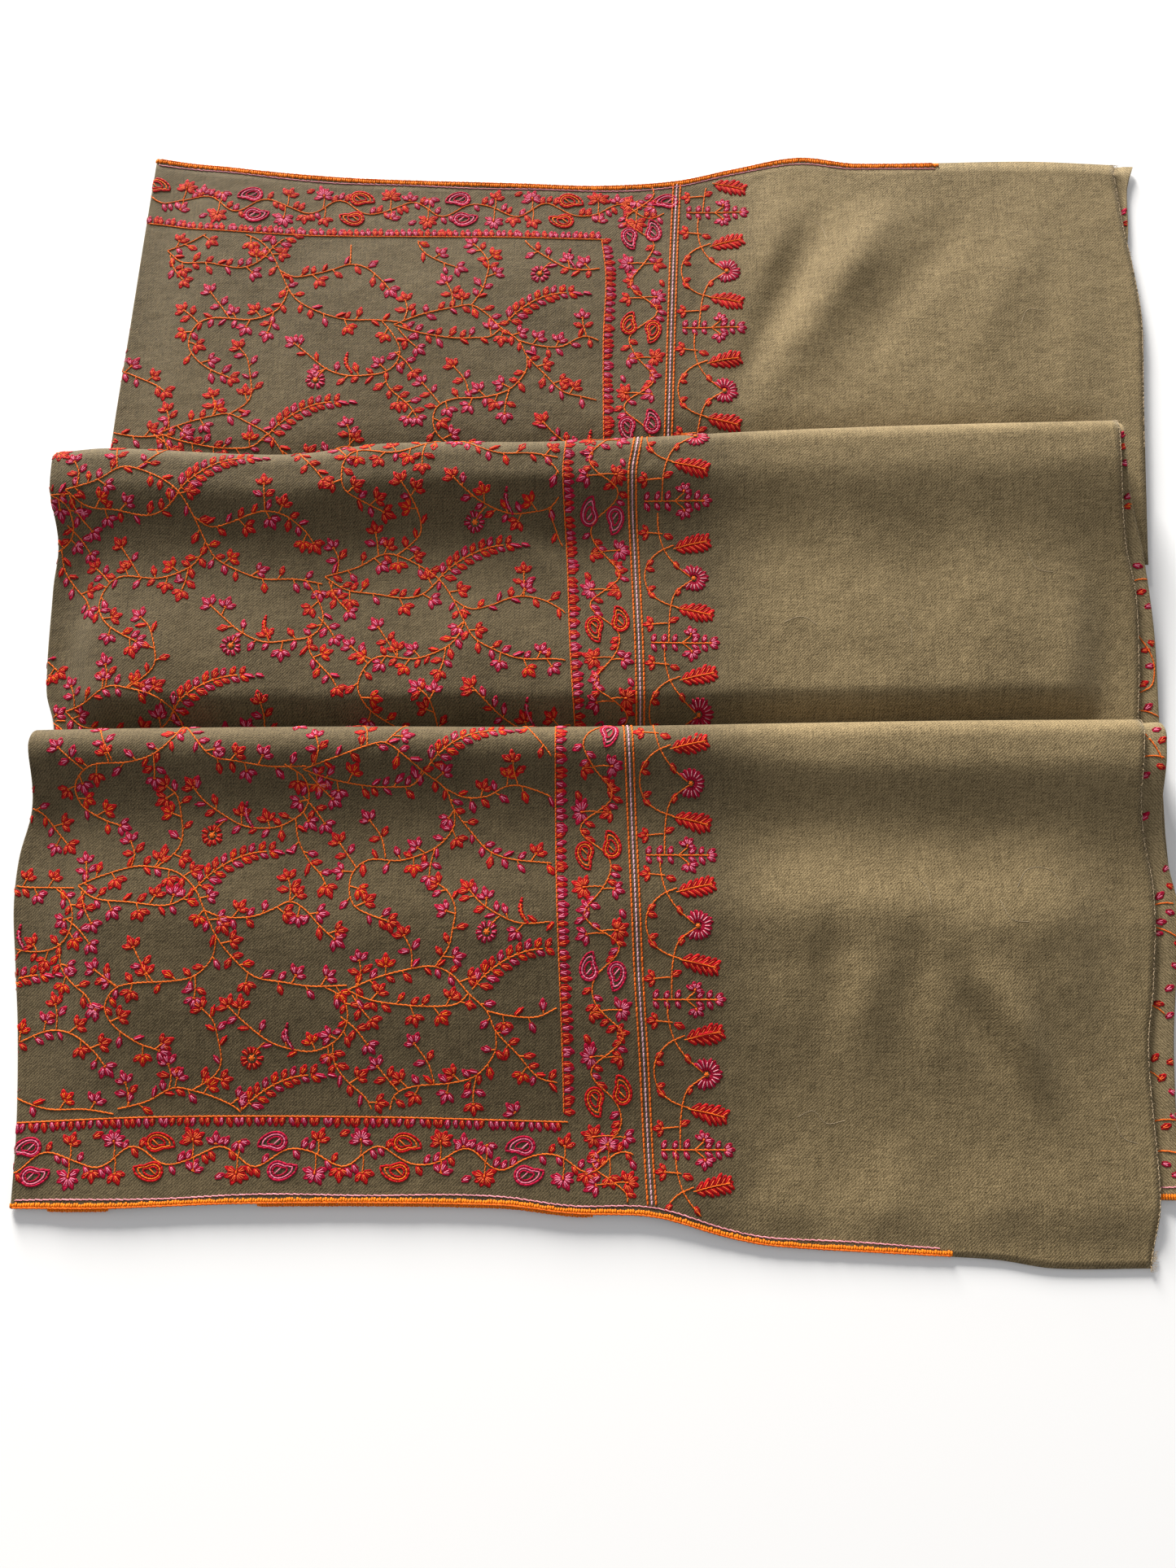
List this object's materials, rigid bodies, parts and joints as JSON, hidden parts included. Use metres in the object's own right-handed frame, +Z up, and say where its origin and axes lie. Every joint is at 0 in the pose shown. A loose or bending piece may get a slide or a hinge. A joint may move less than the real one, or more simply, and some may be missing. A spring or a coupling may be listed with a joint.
{
  "type": "folded embroidered shawl",
  "caption": "Fine wool shawl folded in three lengthwise and pleated into overlapping stretches, with vine and paisley needlework and a plain end.",
  "frame": {"origin": "centre of the folded shawl's outline, on the surface that it lies on", "axes": "+X from the left fold to the plain raw end, +Y from the front hem to the back hem, +Z up"},
  "size_m": [0.779, 0.7824, 0.035],
  "materials": {
    "shawl_face": "soft olive brown wool twill, right side",
    "shawl_reverse": "soft olive brown wool twill, reverse side",
    "shawl_inner": "inner folded layers of the same wool twill",
    "orange_thread": "glossy twisted embroidery thread",
    "red_thread": "glossy twisted embroidery thread",
    "pink_thread": "glossy twisted embroidery thread"
  },
  "bodies": {
    "root": {"back_stretch": "shawl_face", "middle_stretch": "shawl_face", "front_stretch": "shawl_face", "back_underlap": "shawl_reverse", "middle_underlap": "shawl_reverse", "front_underlap": "shawl_reverse", "hidden_layers": "shawl_inner"}
  },
  "joints": []
}
